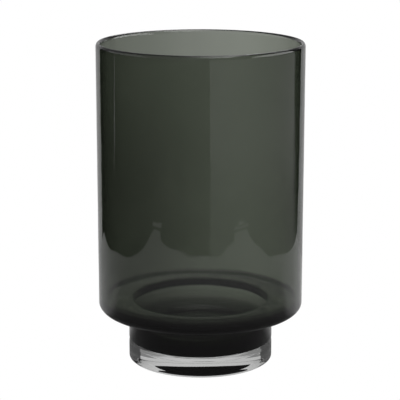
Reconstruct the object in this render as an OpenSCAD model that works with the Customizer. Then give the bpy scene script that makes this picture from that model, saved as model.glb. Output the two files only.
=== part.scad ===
// Glass cylinder vase: a thin-walled smoked vessel whose floor steps down into a narrower
// hollow foot, fused onto a thick disc of clear glass.
// Every part is turned about the vertical axis. Z = 0 is the plane that the vase stands on.

/* [Body] */
// Height from the table to the top of the rim
height = 250; // [200:1:320]
// Outside diameter of the cylindrical body
body_d = 160; // [140:1:200]
// Thickness of the body wall
wall_t = 3.8; // [2.5:0.1:6]
// Height of the fire-polished rounding along the rim
lip_h = 3.2; // [1:0.1:6]
// Radius of the outer corner at the bottom of the body
shoulder_r = 6; // [2:0.5:12]
// Height of the body's underside above the table, at the outer corner
underside_z = 40; // [34:0.5:60]
// How much higher the underside lies at the foot than at the outer corner
neck_rise = 2; // [0:0.1:3]
// Thickness of the ring-shaped floor over the lowest part of the underside
ring_floor_t = 8; // [6:0.1:10]
// Radius of the inside corner between the wall and the ring-shaped floor
ring_corner_r = 3; // [1:0.1:6]

/* [Foot] */
// Outside diameter of the foot, both its smoked and its clear stretch
foot_d = 113; // [90:1:120]
// Thickness of the smoked wall around the well in the foot
foot_wall_t = 3.6; // [2.5:0.1:6]
// Radius of the rounded lip where the ring-shaped floor turns down into the well
well_lip_r = 0.8; // [0.5:0.1:3]
// Radius of the inside corner at the bottom of the well
well_corner_r = 12; // [1:0.5:16]
// Thickness of the smoked floor of the well
well_floor_t = 5.4; // [3:0.1:8]
// Radius of the hollow corner between the foot and the body's underside
neck_fillet_r = 1.2; // [0.5:0.1:3]

/* [Clear base] */
// Thickness of the clear disc under the foot
clear_t = 16.6; // [10:0.1:20]
// Radius of the polished edge at the bottom of the clear disc
arris_r = 1.8; // [1:0.1:5]
// Radius of the rounded edges on both sides of the seam
seam_r = 0.4; // [0.1:0.1:0.8]
// Height of the slight bevel round the top of the clear disc
bevel_h = 3.8; // [1:0.1:6]
// How far that bevel draws in at the seam
bevel_in = 0.5; // [0.1:0.05:1]
// Radius of the fused joint between the smoked and the clear glass
joint_r = 40; // [30:1:48]
// Height of the fine gap between the two glasses outside the joint
joint_step = 0.25; // [0.1:0.05:0.5]
// Width of the flat ring that the vase stands on
rest_w = 16; // [6:1:32]
// Depth of the shallow hollow ground into the underside
kick_depth = 0.9; // [0.2:0.1:2]

/* [Hidden] */
$fn = 128;
body_r = body_d / 2;
cavity_r = body_r - wall_t;
foot_r = foot_d / 2;
well_r = foot_r - foot_wall_t;
ring_floor_z = underside_z + ring_floor_t;
neck_z = underside_z + neck_rise;
seam_z = clear_t + joint_step;
well_floor_z = clear_t + well_floor_t;
kick_r = foot_r - arris_r - rest_w;
// A sphere through the edge and the middle of the shallow hollow
kick_sphere_r = (kick_r * kick_r + kick_depth * kick_depth) / (2 * kick_depth);
// Sides on the circle that cuts the hollow, enough for a smooth preview of its small arc
kick_fn = 1600;
lip_steps = 16;
above = 1;

// A block in the (radius, height) half plane, from the axis to r and from z0 to z1,
// with its lower outer corner rounded
module half_block(r, z0, z1, corner_r) {
    translate([0, z0]) square([r - corner_r, z1 - z0]);
    translate([0, z0 + corner_r]) square([r, z1 - z0 - corner_r]);
    translate([r - corner_r, z0 + corner_r]) circle(corner_r);
}

// The sliver between the corner at (r, z) and a quarter circle below and outside that corner
module corner_sliver(r, z, sliver_r) {
    translate([r, z - sliver_r]) difference() {
        square(sliver_r);
        translate([sliver_r, 0]) circle(sliver_r);
    }
}

// The rounded top of the wall: half an ellipse that stands on the wall
module lip_profile() {
    middle_r = (cavity_r + body_r) / 2;
    translate([middle_r, height - lip_h])
        polygon([for (i = [0 : lip_steps]) let (a = 180 * i / lip_steps)
            [wall_t / 2 * cos(a), lip_h * sin(a)]]);
}

// The body's outside, whose underside rises in a straight slope from the corner to the foot
module body_outside() {
    neck_r = foot_r + neck_fillet_r;
    difference() {
        half_block(body_r, underside_z, height - lip_h, shoulder_r);
        polygon([[0, underside_z - above], [body_r - shoulder_r, underside_z - above],
                 [body_r - shoulder_r, underside_z], [neck_r, neck_z], [0, neck_z]]);
    }
}

module vessel_outside() {
    body_outside();
    translate([0, seam_z + seam_r]) square([foot_r, neck_z + above - seam_z]);
    translate([0, seam_z]) square([foot_r - seam_r, seam_r + above]);
    translate([foot_r - seam_r, seam_z + seam_r]) circle(seam_r);
    translate([0, clear_t]) square([joint_r, joint_step + seam_r]);
    corner_sliver(foot_r, neck_z, neck_fillet_r);
}

module vessel_inside() {
    half_block(cavity_r, ring_floor_z, height + above, ring_corner_r);
    half_block(well_r, well_floor_z, ring_floor_z + above, well_corner_r);
    corner_sliver(well_r, ring_floor_z, well_lip_r);
}

module smoked_vessel() {
    color([0.24, 0.26, 0.23, 0.75]) rotate_extrude() {
        difference() {
            vessel_outside();
            vessel_inside();
        }
        lip_profile();
    }
}

// The clear disc's outside: a rounded bottom edge, a straight wall, and a bevel up to the seam
module disc_outside() {
    top_r = foot_r - bevel_in - seam_r;
    half_block(foot_r, 0, clear_t - bevel_h, arris_r);
    polygon([[0, clear_t - bevel_h], [foot_r, clear_t - bevel_h], [top_r + seam_r, clear_t - seam_r],
             [top_r, clear_t], [0, clear_t]]);
    translate([top_r, clear_t - seam_r]) circle(seam_r);
}

module clear_base() {
    color([0.88, 0.92, 0.92, 0.45]) rotate_extrude() difference() {
        disc_outside();
        translate([0, kick_depth - kick_sphere_r]) circle(kick_sphere_r, $fn = kick_fn);
    }
}

smoked_vessel();
clear_base();
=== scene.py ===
"""Smoked glass cylinder vase on a thick clear foot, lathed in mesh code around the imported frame."""
import math

import bpy
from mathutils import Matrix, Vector, noise


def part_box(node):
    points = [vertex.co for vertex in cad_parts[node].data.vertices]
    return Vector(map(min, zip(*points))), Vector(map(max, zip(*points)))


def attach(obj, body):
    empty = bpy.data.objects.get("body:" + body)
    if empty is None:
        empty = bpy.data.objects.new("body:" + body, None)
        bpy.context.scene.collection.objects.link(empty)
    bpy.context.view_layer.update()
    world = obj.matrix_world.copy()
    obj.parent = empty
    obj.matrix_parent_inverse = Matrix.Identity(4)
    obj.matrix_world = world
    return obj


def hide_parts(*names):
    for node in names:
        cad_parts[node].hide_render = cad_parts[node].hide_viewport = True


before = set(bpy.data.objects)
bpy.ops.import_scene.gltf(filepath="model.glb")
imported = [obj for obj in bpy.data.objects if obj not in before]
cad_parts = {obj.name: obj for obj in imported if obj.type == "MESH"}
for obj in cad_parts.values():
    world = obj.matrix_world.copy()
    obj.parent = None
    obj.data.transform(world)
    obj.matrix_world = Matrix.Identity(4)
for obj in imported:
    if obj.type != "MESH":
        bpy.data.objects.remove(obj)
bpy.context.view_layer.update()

MM = 0.001

# ---- Sizes, in metres: the outer ones from the frame's boxes, the others from the design
vessel_lo, vessel_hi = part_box("smoked_vessel")
base_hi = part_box("clear_base")[1]
BODY_R = min(-vessel_lo.x, -vessel_lo.y, vessel_hi.x, vessel_hi.y)
HEIGHT = vessel_hi.z
FOOT_R = base_hi.x
SEAM_Z = base_hi.z
WALL_T = 3.8 * MM
LIP_H = 3.2 * MM
SHOULDER_R = 6.0 * MM
UNDERSIDE_Z = 40.0 * MM
NECK_RISE = 2.0 * MM
RING_FLOOR_T = 8.0 * MM
RING_CORNER_R = 3.0 * MM
FOOT_WALL_T = 3.6 * MM
WELL_LIP_R = 0.8 * MM
WELL_CORNER_R = 12.0 * MM
WELL_FLOOR_T = 5.4 * MM
NECK_FILLET_R = 1.2 * MM
ARRIS_R = 1.8 * MM
BEVEL_H = 3.8 * MM
BEVEL_IN = 0.5 * MM
SEAM_R = 0.4 * MM
REST_W = 16.0 * MM
KICK_DEPTH = 0.9 * MM
# The fused joint: its radius, the height of the gap round it, the space between its two faces
JOINT_R = 40.0 * MM
JOINT_STEP = 0.25 * MM
JOINT_GAP = 0.02 * MM

CAVITY_R = BODY_R - WALL_T
WELL_R = FOOT_R - FOOT_WALL_T
NECK_Z = UNDERSIDE_Z + NECK_RISE
RING_FLOOR_Z = UNDERSIDE_Z + RING_FLOOR_T
WELL_FLOOR_Z = SEAM_Z + WELL_FLOOR_T
KICK_R = FOOT_R - ARRIS_R - REST_W

# ---- Mesh fineness: segments round the axis, and steps along each kind of stretch
SEGMENTS = 360
WALL_STEPS = 60
LIP_STEPS = 20
EDGE_STEPS = 16
DISC_STEPS = 14
SIDE_STEPS = 12
CORNER_STEPS = 12
WELL_STEPS = 10
FLAT_STEPS = 8
FILLET_STEPS = 8
SEAM_STEPS = 6
REST_STEPS = 5
LEDGE_STEPS = 3


# ---- Outlines in the (radius, height) half plane
def arc(centre_r, centre_z, radius, start, end, steps=CORNER_STEPS, radius_z=None):
    """Points of a circular or elliptical arc, angles in degrees from the outward direction."""
    tall = radius if radius_z is None else radius_z
    angles = [math.radians(start + (end - start) * i / steps) for i in range(steps + 1)]
    return [(centre_r + radius * math.cos(a), centre_z + tall * math.sin(a)) for a in angles]


def line(r0, z0, r1, z1, steps):
    """Points between two ends, which are left out because their neighbours hold them."""
    return [(r0 + (r1 - r0) * i / steps, z0 + (z1 - z0) * i / steps) for i in range(1, steps)]


def vessel_outline():
    """Boundary of the smoked glass against air, from the joint's edge up outside and down inside."""
    middle_r = (CAVITY_R + BODY_R) / 2
    gap_z = SEAM_Z + JOINT_STEP
    outside = [(JOINT_R, SEAM_Z), (JOINT_R + JOINT_STEP, gap_z)]
    outside += line(JOINT_R + JOINT_STEP, gap_z, FOOT_R - SEAM_R, gap_z, LEDGE_STEPS)
    outside += arc(FOOT_R - SEAM_R, gap_z + SEAM_R, SEAM_R, -90, 0, SEAM_STEPS)
    outside += line(FOOT_R, gap_z + SEAM_R, FOOT_R, NECK_Z - NECK_FILLET_R, FLAT_STEPS)
    outside += arc(FOOT_R + NECK_FILLET_R, NECK_Z - NECK_FILLET_R, NECK_FILLET_R, 180, 90, FILLET_STEPS)
    outside += line(FOOT_R + NECK_FILLET_R, NECK_Z, BODY_R - SHOULDER_R, UNDERSIDE_Z, FLAT_STEPS)
    outside += arc(BODY_R - SHOULDER_R, UNDERSIDE_Z + SHOULDER_R, SHOULDER_R, -90, 0, EDGE_STEPS)
    outside += line(BODY_R, UNDERSIDE_Z + SHOULDER_R, BODY_R, HEIGHT - LIP_H, WALL_STEPS)
    lip = arc(middle_r, HEIGHT - LIP_H, WALL_T / 2, 0, 180, LIP_STEPS, radius_z=LIP_H)
    inside = line(CAVITY_R, HEIGHT - LIP_H, CAVITY_R, RING_FLOOR_Z + RING_CORNER_R, WALL_STEPS)
    inside += arc(CAVITY_R - RING_CORNER_R, RING_FLOOR_Z + RING_CORNER_R, RING_CORNER_R, 0, -90)
    inside += line(CAVITY_R - RING_CORNER_R, RING_FLOOR_Z, WELL_R + WELL_LIP_R, RING_FLOOR_Z, FLAT_STEPS)
    inside += arc(WELL_R + WELL_LIP_R, RING_FLOOR_Z - WELL_LIP_R, WELL_LIP_R, 90, 180, FILLET_STEPS)
    inside += line(WELL_R, RING_FLOOR_Z - WELL_LIP_R, WELL_R, WELL_FLOOR_Z + WELL_CORNER_R, WELL_STEPS)
    inside += arc(WELL_R - WELL_CORNER_R, WELL_FLOOR_Z + WELL_CORNER_R, WELL_CORNER_R, 0, -90)
    inside += line(WELL_R - WELL_CORNER_R, WELL_FLOOR_Z, 0, WELL_FLOOR_Z, DISC_STEPS)
    return outside + lip + inside + [(0.0, WELL_FLOOR_Z)]


def seam_disc(z):
    """The fused joint, from the axis outwards."""
    return [(0.0, z)] + line(0, z, JOINT_R, z, DISC_STEPS) + [(JOINT_R, z)]


def base_outline():
    """Boundary of the clear disc against air, from the axis under it out, up and in to the joint."""
    sphere_r = (KICK_R ** 2 + KICK_DEPTH ** 2) / (2 * KICK_DEPTH)
    tilt = math.degrees(math.asin(KICK_R / sphere_r))
    kick = arc(0, KICK_DEPTH - sphere_r, sphere_r, 90, 90 - tilt, DISC_STEPS)
    kick[0] = (0.0, KICK_DEPTH)
    kick[-1] = (KICK_R, 0.0)
    rest = line(KICK_R, 0, FOOT_R - ARRIS_R, 0, REST_STEPS)
    arris = arc(FOOT_R - ARRIS_R, ARRIS_R, ARRIS_R, -90, 0, EDGE_STEPS)
    bevel_z = SEAM_Z - BEVEL_H
    wall = line(FOOT_R, ARRIS_R, FOOT_R, bevel_z, SIDE_STEPS) + [(FOOT_R, bevel_z)]
    top_r = FOOT_R - BEVEL_IN - SEAM_R
    bevel = line(FOOT_R, bevel_z, top_r + SEAM_R, SEAM_Z - SEAM_R, SIDE_STEPS)
    groove = arc(top_r, SEAM_Z - SEAM_R, SEAM_R, 0, 90, SEAM_STEPS)
    ledge = line(top_r, SEAM_Z, JOINT_R, SEAM_Z, LEDGE_STEPS)
    return kick + rest + arris + wall + bevel + groove + ledge + [(JOINT_R, SEAM_Z)]


# ---- Marks of hand work: a wave in the glass, drawn out upwards, and a joint off its centre
WAVE_SCALE = 11 * MM
WAVE_SQUASH = 0.6
OUTSIDE_WAVE = 0.07 * MM
INSIDE_WAVE = 0.05 * MM
JOINT_SHIFT = 6.0 * MM
SHIFT_POWER = 4


def hand_made(x, y, z):
    """A point of the true turned shape off its axis, pulled in by the wave. The joint moves to +X."""
    out = math.hypot(x, y)
    outside_foot = out > FOOT_R - SEAM_R and z < RING_FLOOR_Z - WELL_LIP_R
    on_outside = out > BODY_R - WALL_T / 2 or outside_foot
    depth = OUTSIDE_WAVE if on_outside else INSIDE_WAVE * min(1, out / WELL_R)
    wave = noise.noise(Vector((x, y, z * WAVE_SQUASH)) / WAVE_SCALE) - 1
    pull = 1 + depth * wave / out
    if abs(z - SEAM_Z) < JOINT_STEP / 2 and out < FOOT_R - SEAM_R:
        x += JOINT_SHIFT * (1 - (out / FOOT_R) ** SHIFT_POWER)
    return x * pull, y * pull, z


# ---- Lathe
def lathe(name, parts):
    """A closed turned mesh. parts is a list of (outline, material index), end to end."""
    verts, faces, face_mats = [], [], []
    rings = {}

    def ring_of(point):
        """The ring of vertices at an outline's point, made once. On the axis it is one vertex."""
        key = (round(point[0], 9), round(point[1], 9))
        if key not in rings:
            start = len(verts)
            if key[0] == 0:
                verts.append((0.0, 0.0, point[1]))
                rings[key] = [start] * SEGMENTS
            else:
                for i in range(SEGMENTS):
                    a = 2 * math.pi * i / SEGMENTS
                    verts.append(hand_made(point[0] * math.cos(a), point[0] * math.sin(a), point[1]))
                rings[key] = list(range(start, start + SEGMENTS))
        return rings[key]

    for outline, mat_index in parts:
        for first, second in zip(outline, outline[1:]):
            a_ring, b_ring = ring_of(first), ring_of(second)
            for i in range(SEGMENTS):
                j = (i + 1) % SEGMENTS
                corners = [a_ring[i], a_ring[j], b_ring[j], b_ring[i]]
                faces.append(list(dict.fromkeys(corners)))
                face_mats.append(mat_index)
    mesh = bpy.data.meshes.new(name)
    mesh.from_pydata(verts, [], faces)
    mesh.polygons.foreach_set("material_index", face_mats)
    mesh.polygons.foreach_set("use_smooth", [True] * len(faces))
    mesh.update()
    obj = bpy.data.objects.new(name, mesh)
    bpy.context.scene.collection.objects.link(obj)
    return obj


# ---- Materials
GLASS_IOR = 1.5
# An index of 1 lets light pass the joint unbent, as through one block
JOINT_IOR = 1.0
SMOKE_COLOUR = (0.29, 0.33, 0.25, 1)
SMOKE_DENSITY = 420.0
# Noise fields, with scale in cycles per metre: cords in the melt, traces of wiping, uneven colour
CORDS = {"scale": 90, "detail": 2, "stretch": 3}
CORD_DEPTH = 0.02 * MM
WIPING = {"scale": 35, "detail": 4, "stretch": 0.4}
WIPED = (0.5, 0.75)
TINT = {"scale": 18, "detail": 1, "stretch": 2}
TINTED = (0.35, 0.7)
WHITE = (1, 1, 1, 1)
TINT_COLOUR = (0.95, 0.965, 0.95, 1)


def new_material(name):
    """An empty material with its node tree and its output node."""
    mat = bpy.data.materials.new(name)
    mat.use_nodes = True
    tree = mat.node_tree
    tree.nodes.clear()
    out = tree.nodes.new("ShaderNodeOutputMaterial")
    return mat, tree, out


def glass_surface(tree, out, ior):
    """Smooth transparent surface, with its colour left to the volume."""
    shader = tree.nodes.new("ShaderNodeBsdfPrincipled")
    shader.inputs["Base Color"].default_value = WHITE
    shader.inputs["Transmission Weight"].default_value = 1.0
    shader.inputs["Roughness"].default_value = 0.0
    shader.inputs["IOR"].default_value = ior
    tree.links.new(shader.outputs["BSDF"], out.inputs["Surface"])
    return shader


def noise_field(tree, scale, detail, stretch):
    """Three-dimensional noise in the object's own metres, drawn out along z by stretch."""
    coords = tree.nodes.new("ShaderNodeTexCoord")
    mapping = tree.nodes.new("ShaderNodeMapping")
    mapping.inputs["Scale"].default_value = (scale, scale, scale / stretch)
    tree.links.new(coords.outputs["Object"], mapping.inputs["Vector"])
    field = tree.nodes.new("ShaderNodeTexNoise")
    field.inputs["Scale"].default_value = 1.0
    field.inputs["Detail"].default_value = detail
    tree.links.new(mapping.outputs["Vector"], field.inputs["Vector"])
    return field.outputs["Fac"]


def between(tree, value, low, high, at_high):
    """0 up to low, then rising in a straight line to at_high at high."""
    node = tree.nodes.new("ShaderNodeMapRange")
    for name, number in (("From Min", low), ("From Max", high),
                         ("To Min", 0.0), ("To Max", at_high)):
        node.inputs[name].default_value = number
    tree.links.new(value, node.inputs["Value"])
    return node.outputs["Result"]


def blown_finish(tree, shader, striae, haze):
    """Faint cords drawn out in the melt, slightly uneven colour, and a patchy trace of wiping."""
    bump = tree.nodes.new("ShaderNodeBump")
    bump.inputs["Strength"].default_value = striae
    bump.inputs["Distance"].default_value = CORD_DEPTH
    tree.links.new(noise_field(tree, **CORDS), bump.inputs["Height"])
    tree.links.new(bump.outputs["Normal"], shader.inputs["Normal"])
    wiping = noise_field(tree, **WIPING)
    tree.links.new(between(tree, wiping, *WIPED, haze), shader.inputs["Roughness"])
    tint = tree.nodes.new("ShaderNodeMix")
    tint.data_type = "RGBA"
    tint.inputs["A"].default_value = WHITE
    tint.inputs["B"].default_value = TINT_COLOUR
    uneven = noise_field(tree, **TINT)
    tree.links.new(between(tree, uneven, *TINTED, 1.0), tint.inputs["Factor"])
    tree.links.new(tint.outputs["Result"], shader.inputs["Base Color"])


def smoke_volume(tree, out):
    """The smoke tint, which deepens with the thickness of glass that the light crosses."""
    smoke = tree.nodes.new("ShaderNodeVolumeAbsorption")
    smoke.inputs["Color"].default_value = SMOKE_COLOUR
    smoke.inputs["Density"].default_value = SMOKE_DENSITY
    tree.links.new(smoke.outputs["Volume"], out.inputs["Volume"])


def smoked_glass():
    mat, tree, out = new_material("smoked_glass")
    blown_finish(tree, glass_surface(tree, out, GLASS_IOR), striae=0.3, haze=0.02)
    smoke_volume(tree, out)
    return mat


def smoked_joint():
    mat, tree, out = new_material("smoked_joint")
    glass_surface(tree, out, JOINT_IOR)
    smoke_volume(tree, out)
    return mat


def clear_glass():
    mat, tree, out = new_material("clear_glass")
    blown_finish(tree, glass_surface(tree, out, GLASS_IOR), striae=0.2, haze=0.01)
    return mat


def clear_joint():
    mat, tree, out = new_material("clear_joint")
    glass_surface(tree, out, JOINT_IOR)
    return mat


# ---- Pieces: the smoked vessel, then the clear disc, whose outline ends on its own side of the gap
vessel = lathe("smoked_vessel_glass", [(seam_disc(SEAM_Z), 1), (vessel_outline(), 0)])
vessel.data.materials.append(smoked_glass())
vessel.data.materials.append(smoked_joint())
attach(vessel, "root")
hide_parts("smoked_vessel")

top_disc = list(reversed(seam_disc(SEAM_Z - JOINT_GAP)))
outline = base_outline()
outline[-1] = top_disc[0]
base = lathe("clear_base_glass", [(outline, 0), (top_disc, 1)])
base.data.materials.append(clear_glass())
base.data.materials.append(clear_joint())
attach(base, "root")
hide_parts("clear_base")


# ---- Studio: floor and world are white for the camera, and only the glass shows what stands round
FLOOR_HALF = 8.0
FLOOR_DROP = 0.3 * MM
PAPER_WHITE = 1.0
# Softness of edges, and the span in which brightness changes from left to right
SHARP = 0.004
SOFT = 0.012
SWEEP = (-0.3, 0.3)

# The pale table that the vase stands on: half its width in front, behind, and the change between
TABLE_HALF = 0.41
TABLE_HALF_BACK = 0.363
TABLE_TAPER = (0.03, 0.22)
# Its bowed front edge, and its brightness
TABLE_FRONT = -0.45
TABLE_BOW = 0.6
TABLE_LEFT, TABLE_RIGHT = 0.42, 0.66
# Clamps at its front corners, as bright as the table: side, degrees from the front, half width,
# nearest and furthest distance from the vase's axis
CLAMPS = [(-1, 45.0, 0.036, 0.4, 0.545), (-1, 45.0, 0.05, 0.555, 0.575),
          (1, 42.5, 0.065, 0.4, 0.545), (1, 42.5, 0.08, 0.558, 0.575), (1, 42.5, 0.035, 0.58, 0.6)]
# White paper that widens away behind the table
PAPER_START = 0.28
PAPER_HALF = 0.12
PAPER_SLOPE = 0.74
PAPER_SHIFT = 0.025
PAPER = 0.5
# A pale wall at the right, in degrees round from the front, brighter with distance from the vase
WALL_FROM, WALL_TO = 9.8, 122.0
WALL_END = 0.1
WALL_DEPTH = (0.5, 1.1)
WALL_NEAR, WALL_FAR = 0.22, 0.44
# A light stand at the left, which fades in with distance
STAND = (-1.22, 0.33)
STAND_HALF = 0.02
STAND_DEPTH = (0.7, 1.2)
STAND_LIGHT = 0.5
# The vase's own shade, mirrored (shorter behind) and seen through the glass, from dark to full
SHADE = 0.3
MIRROR_SHADE = (0.16, 0.42)
SHADE_SQUASH = 4.0
THROUGH_SHADE = (0.08, 0.22)
THROUGH_FULL = 1.1
# What shows through the glass: its left half is darker near by, and the edge between the halves
# widens along a fan from a point this far in front of the vase
THROUGH_LEFT, THROUGH_RIGHT = 0.47, 0.67
THROUGH_NEAR = 0.3
NEAR_DEPTH = (0.4, 1.6)
FAN_START = 1.2
FAN_EDGE = 0.05

# The parts of the world lie between values of a direction's x or z, where 1 is right along an
# axis. A mirrored ray is shallow if it has crossed one to three glass surfaces, as in one wall or
# in the clear disc, and beyond if it has crossed both faces of both walls
BODY_CROSSINGS = 4
# A backdrop behind: half its width for each metre of distance, its flare upwards, its edge and top
BACKDROP_HALF = 0.8
BACKDROP_FLARE = 0.7
BACKDROP_EDGE = 0.02
BACKDROP_TOP = 0.37
TOP_EDGE = 0.01
BACKDROP = 0.5
# A bright band low on it for rays beyond, and a darker upper part for the others
BAND = 1.6
BAND_FOOT = (0.12, 0.18)
BAND_TOP = (0.295, 0.31)
BACKDROP_HIGH = 0.22
HIGH_FROM = (0.305, 0.315)
# Above the backdrop, where shallow rays see it darken to the right
ABOVE = 0.25
ABOVE_LEFT, ABOVE_RIGHT = 0.22, 0.05
ABOVE_SWEEP = (-0.1, 0.15)
# Beside the backdrop, black at the horizon, and even for shallow rays
SIDE_LEFT, SIDE_RIGHT = 0.3, 0.1
SIDE_SHALLOW = 0.06
SIDE_RISE = (0.0, 0.2)
# A soft light overhead, brighter to the right as far as its end, and even for rays inside glass
OVERHEAD_LEFT, OVERHEAD_RIGHT = 0.3, 2.6
OVERHEAD_SWEEP = (-0.3, 0.35)
OVERHEAD_END = (0.5, 0.54)
OVERHEAD_INSIDE = 1.0
OVERHEAD_RISE = (0.45, 0.6)
# A light box at each side, which rays inside glass don't see
BOX_LEFT, BOX_RIGHT = 0.7, 2.6
BOX_SWEEP = (-0.5, 0.5)
BOX_FROM = (0.82, 0.86)
BOX_FOOT = (0.05, 0.1)


class Nodes:
    """Short calls for the arithmetic of a node tree. A value is a socket or a number."""

    def __init__(self, tree):
        self.tree = tree

    def new(self, kind):
        return self.tree.nodes.new(kind)

    def put(self, socket, value):
        """Links the socket to another one, or sets its number."""
        if isinstance(value, bpy.types.NodeSocket):
            self.tree.links.new(value, socket)
        else:
            socket.default_value = value

    def math(self, operation, *values):
        node = self.new("ShaderNodeMath")
        node.operation = operation
        for socket, value in zip(node.inputs, values):
            self.put(socket, value)
        return node.outputs[0]

    def size(self, value):
        return self.math("ABSOLUTE", value)

    def plus(self, first, second):
        return self.math("ADD", first, second)

    def minus(self, first, second):
        return self.math("SUBTRACT", first, second)

    def times(self, first, second):
        return self.math("MULTIPLY", first, second)

    def scaled(self, value, factor, added):
        """value x factor + added."""
        return self.math("MULTIPLY_ADD", value, factor, added)

    def ramp(self, value, low, high, at_low=0.0, at_high=1.0, smooth=True):
        """at_low where value is low, at_high where it is high, and a step between them."""
        node = self.new("ShaderNodeMapRange")
        node.interpolation_type = "SMOOTHSTEP" if smooth else "LINEAR"
        for name, number in (("From Min", low), ("From Max", high),
                             ("To Min", at_low), ("To Max", at_high)):
            self.put(node.inputs[name], number)
        self.put(node.inputs["Value"], value)
        return node.outputs["Result"]

    def over(self, value, edge):
        """1 where value is over 0, with a soft edge."""
        return self.ramp(value, -edge, edge)

    def under(self, value, edge):
        """1 where value is under 0, with a soft edge."""
        return self.ramp(value, -edge, edge, 1.0, 0.0)

    def blend(self, factor, first, second):
        """first where factor is 0, second where it is 1."""
        return self.scaled(factor, self.minus(second, first), first)

    def split(self, vector):
        node = self.new("ShaderNodeSeparateXYZ")
        self.put(node.inputs[0], vector)
        return node.outputs[0], node.outputs[1], node.outputs[2]

    def after(self, counter, least):
        """1 for a ray that has been mirrored or let through at least so many times, else 0."""
        path = self.new("ShaderNodeLightPath")
        return self.math("GREATER_THAN", path.outputs[counter], least - 0.5)

    def seen(self, through_view, mirror_view):
        """White straight from the camera, and the two views by way of the glass."""
        camera_ray = self.new("ShaderNodeLightPath").outputs["Is Camera Ray"]
        by_glass = self.blend(self.after("Glossy Depth", 1), through_view, mirror_view)
        return self.blend(camera_ray, by_glass, PAPER_WHITE)


def backdrop(n, x, z, shallow, beyond):
    """The backdrop behind the vase and what is above it."""
    banded = n.blend(n.ramp(z, *BAND_FOOT), BACKDROP, n.ramp(z, *BAND_TOP, BAND, BACKDROP))
    plain = n.ramp(z, *HIGH_FROM, BACKDROP, BACKDROP_HIGH)
    above = n.blend(shallow, ABOVE, n.ramp(x, *ABOVE_SWEEP, ABOVE_LEFT, ABOVE_RIGHT))
    return n.blend(n.over(n.minus(z, BACKDROP_TOP), TOP_EDGE), n.blend(beyond, plain, banded), above)


def overhead_light(n, x, inside):
    """The soft light overhead."""
    light = n.ramp(x, *OVERHEAD_SWEEP, OVERHEAD_LEFT, OVERHEAD_RIGHT)
    light = n.blend(n.ramp(x, *OVERHEAD_END), light, SIDE_RIGHT)
    return n.blend(inside, light, OVERHEAD_INSIDE)


def side_boxes(n, x, z, inside):
    """The light boxes at the left and the right."""
    boxes = n.times(n.ramp(n.size(x), *BOX_FROM), n.ramp(z, *BOX_FOOT))
    boxes = n.times(boxes, n.ramp(x, *BOX_SWEEP, BOX_LEFT, BOX_RIGHT))
    return n.blend(inside, boxes, 0.0)


def studio_world():
    """White for the camera. The glass mirrors a backdrop, its dim sides and the studio's lights."""
    world = bpy.data.worlds.new("studio")
    bpy.context.scene.world = world
    world.use_nodes = True
    tree = world.node_tree
    n = Nodes(tree)
    coords = n.new("ShaderNodeTexCoord")
    x, y, z = n.split(coords.outputs["Generated"])
    inside = n.after("Transmission Depth", 1)
    beyond = n.after("Transmission Depth", BODY_CROSSINGS)
    shallow = n.minus(inside, beyond)
    half = n.times(y, n.scaled(z, BACKDROP_FLARE, BACKDROP_HALF))
    beside = n.over(n.minus(n.size(x), half), BACKDROP_EDGE)
    side = n.blend(shallow, n.ramp(x, *SWEEP, SIDE_LEFT, SIDE_RIGHT), SIDE_SHALLOW)
    side = n.times(n.ramp(z, *SIDE_RISE), side)
    mirror_view = n.blend(beside, backdrop(n, x, z, shallow, beyond), side)
    mirror_view = n.blend(n.ramp(z, *OVERHEAD_RISE), mirror_view, overhead_light(n, x, inside))
    mirror_view = n.math("MAXIMUM", mirror_view, side_boxes(n, x, z, inside))
    through_view = n.ramp(x, *SWEEP, THROUGH_LEFT, THROUGH_RIGHT)
    background = tree.nodes["Background"]
    tree.links.new(n.seen(through_view, mirror_view), background.inputs["Color"])


def on_table(n, x, y):
    """1 on the table top and its clamps, 0 beside them."""
    half = n.ramp(y, *TABLE_TAPER, TABLE_HALF, TABLE_HALF_BACK)
    top = n.under(n.minus(n.size(x), half), SHARP)
    front = n.scaled(n.times(x, x), TABLE_BOW, TABLE_FRONT)
    top = n.times(top, n.over(n.minus(y, front), SHARP))
    for side, direction, half, nearest, furthest in CLAMPS:
        sine, cosine = math.sin(math.radians(direction)), math.cos(math.radians(direction))
        out = n.minus(n.times(x, side * sine), n.times(y, cosine))
        across = n.plus(n.times(x, side * cosine), n.times(y, sine))
        clamp = n.under(n.minus(n.size(across), half), SHARP)
        clamp = n.times(clamp, n.under(n.minus(out, furthest), SHARP))
        clamp = n.times(clamp, n.ramp(out, nearest, nearest + SHARP))
        top = n.math("MAXIMUM", top, clamp)
    return n.times(top, n.ramp(y, PAPER_START, PAPER_START + SHARP, 1.0, 0.0))


def on_paper(n, x, y):
    """1 on the white paper behind the table, 0 elsewhere."""
    half = n.scaled(y, PAPER_SLOPE, PAPER_HALF)
    beside = n.minus(n.size(n.minus(x, PAPER_SHIFT)), half)
    return n.times(n.under(beside, SOFT), n.ramp(y, PAPER_START, PAPER_START + SHARP))


def surroundings(n, x, y, away):
    """Brightness of what stands round the table: a wall at the right, a light stand at the left."""
    first, last = math.tan(math.radians(WALL_FROM)), math.tan(math.radians(WALL_TO - 90))
    wall = n.times(n.over(n.scaled(y, first, x), SOFT), n.under(n.scaled(x, -last, y), WALL_END))
    wall = n.times(wall, n.ramp(away, *WALL_DEPTH, WALL_NEAR, WALL_FAR))
    far = math.hypot(*STAND)
    along, across = STAND[0] / far, STAND[1] / far
    sideways = n.plus(n.times(x, -across), n.times(y, along))
    outward = n.plus(n.times(x, along), n.times(y, across))
    stand = n.ramp(n.size(sideways), STAND_HALF / 2, STAND_HALF, STAND_LIGHT, 0.0)
    return n.plus(wall, n.times(stand, n.ramp(outward, *STAND_DEPTH)))


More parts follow.
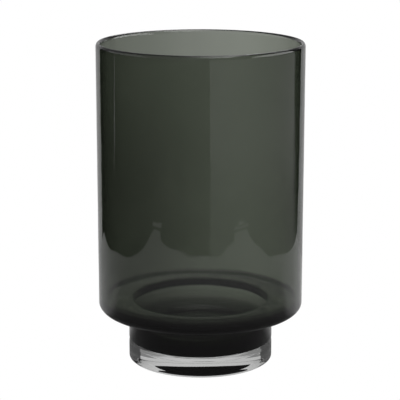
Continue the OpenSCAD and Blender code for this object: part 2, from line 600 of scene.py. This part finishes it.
def floor():
    """A white floor. The glass mirrors the table, the paper and the studio on it."""
    mesh = bpy.data.meshes.new("floor")
    half, z = FLOOR_HALF, -FLOOR_DROP
    mesh.from_pydata([(-half, -half, z), (half, -half, z), (half, half, z), (-half, half, z)],
                     [], [(0, 1, 2, 3)])
    obj = bpy.data.objects.new("floor", mesh)
    bpy.context.scene.collection.objects.link(obj)
    mat, tree, out = new_material("floor")
    n = Nodes(tree)
    place = n.new("ShaderNodeNewGeometry")
    x, y, _ = n.split(place.outputs["Position"])
    away = n.math("SQRT", n.plus(n.times(x, x), n.times(y, y)))
    behind = n.math("MAXIMUM", y, 0.0)
    table = n.ramp(x, -TABLE_HALF, TABLE_HALF, TABLE_LEFT, TABLE_RIGHT, smooth=False)
    mirror_view = n.blend(on_table(n, x, y), surroundings(n, x, y, away), table)
    mirror_view = n.blend(on_paper(n, x, y), mirror_view, PAPER)
    mirror_shade = n.ramp(n.scaled(behind, SHADE_SQUASH, away), *MIRROR_SHADE, SHADE, PAPER_WHITE)
    fan = n.math("DIVIDE", x, n.plus(behind, FAN_START))
    left = n.ramp(y, *NEAR_DEPTH, THROUGH_NEAR, THROUGH_LEFT)
    through_view = n.blend(n.over(fan, FAN_EDGE), left, THROUGH_RIGHT)
    through_shade = n.ramp(away, *THROUGH_SHADE, SHADE, THROUGH_FULL)
    seen = n.seen(n.times(through_view, through_shade), n.times(mirror_view, mirror_shade))
    glow = n.new("ShaderNodeEmission")
    tree.links.new(seen, glow.inputs["Strength"])
    tree.links.new(glow.outputs["Emission"], out.inputs["Surface"])
    obj.data.materials.append(mat)


# ---- Camera: where it stands, how far it looks down and leans, in degrees, and its lens in mm
CAMERA_AT = (-0.0005, -1.1749, 0.4027)
CAMERA_DOWN = 13.24
CAMERA_ROLL = -0.03
LENS = 139.45
SENSOR = 36.0


def camera():
    """The camera, in front of the vase and a little above its rim."""
    cam = bpy.data.cameras.new("camera")
    cam.lens = LENS
    cam.sensor_width = SENSOR
    obj = bpy.data.objects.new("camera", cam)
    bpy.context.scene.collection.objects.link(obj)
    obj.location = CAMERA_AT
    obj.rotation_euler = (math.radians(90 - CAMERA_DOWN), math.radians(CAMERA_ROLL), 0)
    bpy.context.scene.camera = obj


studio_world()
camera()
floor()

# ---- Light paths long enough to cross all the glass
GLASS_BOUNCES = 32
OTHER_BOUNCES = 16
scene = bpy.context.scene
scene.view_settings.view_transform = "Standard"
scene.cycles.max_bounces = GLASS_BOUNCES
scene.cycles.transmission_bounces = GLASS_BOUNCES
scene.cycles.glossy_bounces = OTHER_BOUNCES
scene.cycles.transparent_max_bounces = OTHER_BOUNCES
scene.cycles.volume_bounces = 0
scene.cycles.caustics_reflective = True
scene.cycles.caustics_refractive = True
scene.cycles.blur_glossy = 0.0
scene.cycles.use_denoising = True
